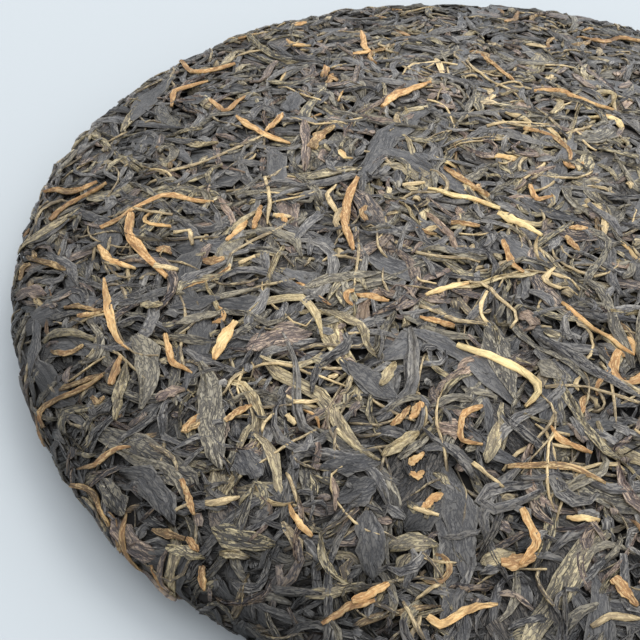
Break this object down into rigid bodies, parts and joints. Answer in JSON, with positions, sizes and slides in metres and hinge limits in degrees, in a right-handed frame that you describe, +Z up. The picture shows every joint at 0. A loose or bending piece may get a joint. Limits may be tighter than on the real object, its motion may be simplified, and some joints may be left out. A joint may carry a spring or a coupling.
{
  "type": "tea cake",
  "caption": "Round pressed cake of ripened pu erh tea: a gently domed face of dark twisted leaves and golden buds, a rounded edge, and a flat back with a shallow hollow.",
  "frame": {"origin": "middle of the flat back, on the plane that the cake rests on", "axes": "+Z up through the cake, from the flat back with its hollow to the domed face; X and Y in the plane of the round disc, which has no special side"},
  "size_m": [0.1987, 0.1997, 0.0248],
  "materials": {
    "pressed_leaf": "dry pressed tea leaf, charcoal brown, with a dull satin sheen",
    "brown_leaf": "dry tea leaf of a redder brown, satin",
    "olive_leaf": "dry tea leaf, streaky olive tan, satin",
    "golden_bud": "downy golden tea bud, soft and dry",
    "pale_stalk": "thin straw coloured stalk, dry"
  },
  "bodies": {
    "root": {"tea_cake": "pressed_leaf"}
  },
  "joints": []
}
